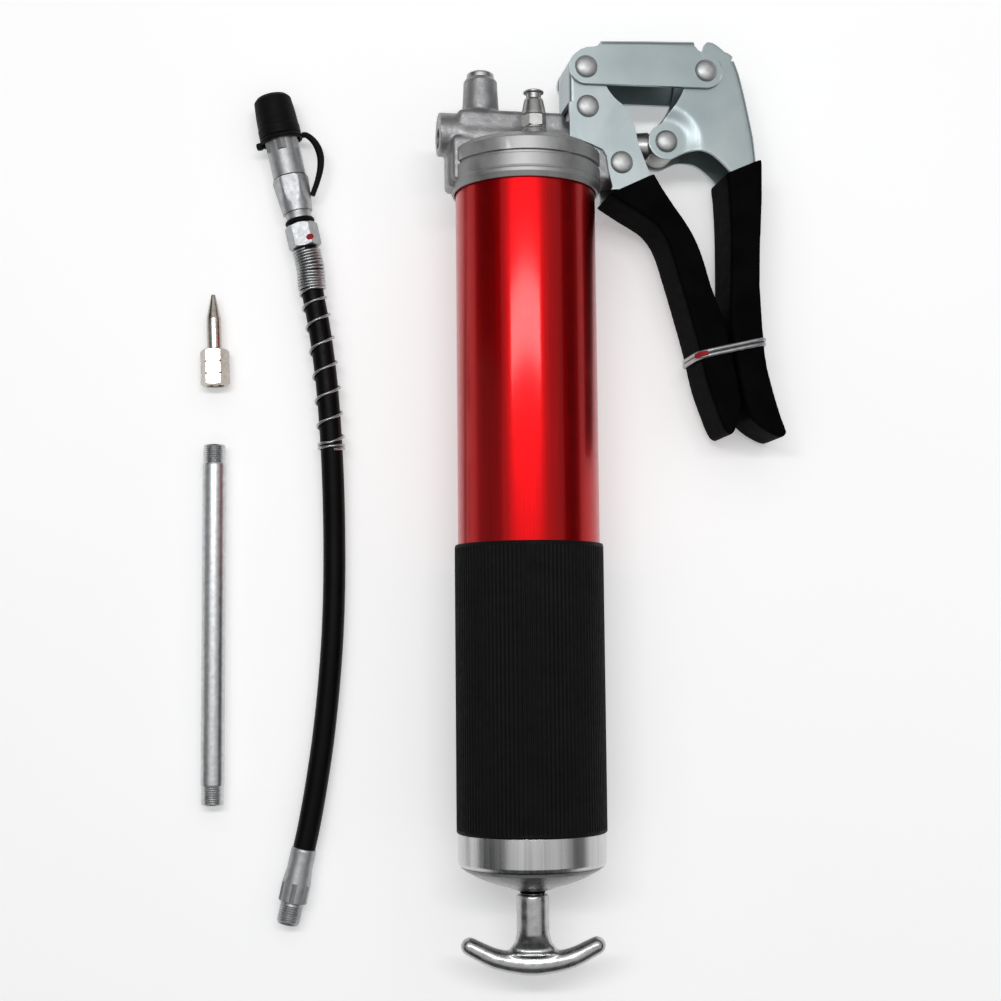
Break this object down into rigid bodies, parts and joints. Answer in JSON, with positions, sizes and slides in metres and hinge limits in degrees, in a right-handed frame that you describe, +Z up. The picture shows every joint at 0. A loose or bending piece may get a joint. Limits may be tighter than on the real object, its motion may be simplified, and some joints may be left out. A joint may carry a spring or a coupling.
{
  "type": "lever grease gun",
  "caption": "Two-handle grease gun with a red barrel, riveted linkage and T-handle, with its hose, coupler, extension tube and needle nozzle laid beside it",
  "frame": {"origin": "on the surface that everything lies on, under the middle of the footprint of the gun, tube and nozzle (the hose set left out)", "axes": "+Y up the barrel from the T-handle to the head, +X from the barrel to the handles, +Z up from the surface; the gun is rolled 9.8 degrees about its barrel so that both handles rest on the surface"},
  "size_m": [0.2436, 0.3792, 0.0619],
  "materials": {
    "cast_aluminium": "satin die cast",
    "zinc_plate": "bright zinc plate",
    "bright_steel": "bright turned steel",
    "spring_steel": "spring wire",
    "red_anodised": "glossy red anodised",
    "black_rubber": "matt black rubber",
    "black_vinyl": "dipped black vinyl",
    "tie_band": "silvery tie",
    "nickel_plate": "nickel plated"
  },
  "bodies": {
    "gun": {"head_casting": "cast_aluminium", "barrel_gasket": "black_rubber", "outlet_adapter": "bright_steel", "check_ball": "bright_steel", "check_spring": "spring_steel", "bleeder_body": "bright_steel", "handle_bracket": "zinc_plate", "bracket_rivet_upper": "bright_steel", "bracket_rivet_lower": "bright_steel", "link_rivet": "bright_steel", "fixed_handle_grip": "black_vinyl", "handle_tie": "tie_band", "plunger_packing": "black_rubber", "packing_gland": "bright_steel", "barrel_tube": "red_anodised", "barrel_grip_sleeve": "black_rubber", "end_cap": "cast_aluminium", "rod_bushing": "black_vinyl", "follower_spring": "spring_steel"},
    "bleeder": {"bleeder_knob": "bright_steel"},
    "link": {"top_link": "zinc_plate"},
    "lever": {"lever_channel": "zinc_plate", "lever_grip": "black_vinyl", "lever_link_rivet": "bright_steel", "lever_plunger_rivet": "bright_steel"},
    "plunger": {"pump_plunger": "bright_steel"},
    "follower": {"follower_cup": "black_rubber", "follower_plate": "zinc_plate", "follower_nut": "bright_steel"},
    "follower_pull": {"follower_rod": "bright_steel", "t_handle": "cast_aluminium"},
    "hose_set": {"hose": "black_rubber", "hose_guard_spring": "spring_steel", "hose_nut": "zinc_plate", "coupler_seal_ring": "black_rubber", "coupler_body": "zinc_plate", "coupler_nose": "zinc_plate", "coupler_jaws": "bright_steel", "hose_end_fitting": "zinc_plate", "dust_cap_strap": "black_rubber"},
    "cap": {"dust_cap": "black_rubber"},
    "tube": {"extension_tube": "zinc_plate"},
    "nozzle": {"needle_nozzle": "nickel_plate"}
  },
  "joints": [
    {"name": "link_swing", "type": "hinge", "parent": "gun", "child": "link", "pos_m": [0.03926, 0.1758, 0.027], "axis": [0.1702, 0, 0.9854], "range_deg": [0, 5.4]},
    {"name": "lever_swing", "type": "hinge", "parent": "link", "child": "lever", "pos_m": [0.08932, 0.1766, 0.01836], "axis": [0.1702, 0, 0.9854], "range_deg": [0, 20], "deforming": ["handle_tie"]},
    {"name": "plunger_slide", "type": "slide", "parent": "gun", "child": "plunger", "axis": [0.9854, 0, -0.1702], "range_m": [0, 0.014]},
    {"name": "follower_slide", "type": "slide", "parent": "gun", "child": "follower", "axis": [0, -1, 0], "range_m": [0, 0.19], "deforming": ["follower_spring"]},
    {"name": "rod_turn", "type": "hinge", "parent": "follower", "child": "follower_pull", "pos_m": [0.01611, -0.1579, 0.031], "axis": [0, 1, 0], "range_deg": [0, 90]},
    {"name": "bleeder_press", "type": "slide", "parent": "gun", "child": "bleeder", "axis": [0, -1, 0], "range_m": [0, 0.0015], "stiffness_N_per_m": 600},
    {"name": "hose_lift", "type": "slide", "parent": "gun", "child": "hose_set", "axis": [0, 0, 1], "range_m": [0, 0.08]},
    {"name": "dust_cap_pull", "type": "slide", "parent": "hose_set", "child": "cap", "axis": [-0.2181, 0.9759, 0], "range_m": [0, 0.03], "deforming": ["dust_cap_strap"]},
    {"name": "tube_lift", "type": "slide", "parent": "gun", "child": "tube", "axis": [0, 0, 1], "range_m": [0, 0.08]},
    {"name": "nozzle_lift", "type": "slide", "parent": "gun", "child": "nozzle", "axis": [0, 0, 1], "range_m": [0, 0.08]}
  ],
  "couplings": [
    {"joint": "link_swing", "follows": "lever_swing", "ratio": 0.266},
    {"joint": "plunger_slide", "follows": "lever_swing", "m_per_rad": 0.0396}
  ]
}
